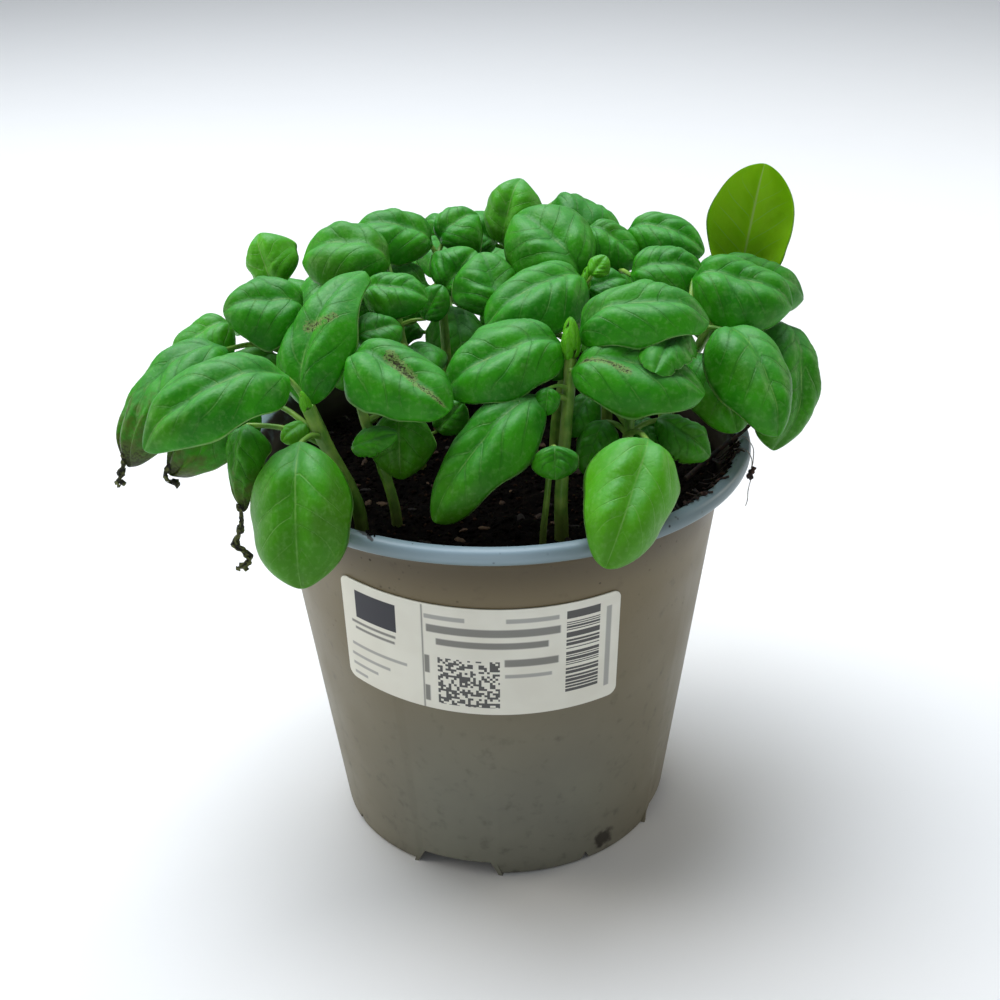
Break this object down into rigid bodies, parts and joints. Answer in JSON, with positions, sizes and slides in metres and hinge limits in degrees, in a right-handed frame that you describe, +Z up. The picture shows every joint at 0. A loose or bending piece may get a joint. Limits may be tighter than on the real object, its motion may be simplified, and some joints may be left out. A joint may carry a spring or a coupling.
{
  "type": "potted basil plant",
  "caption": "Low bushy basil in a tapered round plastic pot with a rolled rim, a drained foot, a paper label on the wall and a soil filling.",
  "frame": {"origin": "centre of the pot's underside, in the plane it rests on", "axes": "+Z up along the pot's axis, +X to the right and -Y towards a viewer who looks at the label, which sits a little to the left"},
  "size_m": [0.1847, 0.1648, 0.185],
  "materials": {
    "pot_plastic": "satin moulded",
    "label_paper": "smooth printed paper",
    "potting_soil": "loose damp soil with bark chips",
    "basil_leaf": "glossy puckered leaf"
  },
  "bodies": {
    "root": {"pot": "pot_plastic", "label": "label_paper", "soil": "potting_soil", "basil_stem_front_left": "basil_leaf", "basil_stem_front_middle": "basil_leaf", "basil_stem_left": "basil_leaf", "basil_stem_centre_left": "basil_leaf", "basil_stem_back_left": "basil_leaf", "basil_stem_centre": "basil_leaf", "basil_stem_back_centre": "basil_leaf", "basil_stem_back_right": "basil_leaf", "basil_stem_right": "basil_leaf", "basil_stem_far_right": "basil_leaf", "basil_stem_front_right": "basil_leaf", "basil_stem_front_low": "basil_leaf", "basil_stem_rear_far_right": "basil_leaf", "basil_seedling_front": "basil_leaf", "basil_stem_rear_left": "basil_leaf", "basil_stem_rear_middle": "basil_leaf", "basil_stem_rear_right": "basil_leaf"}
  },
  "joints": []
}
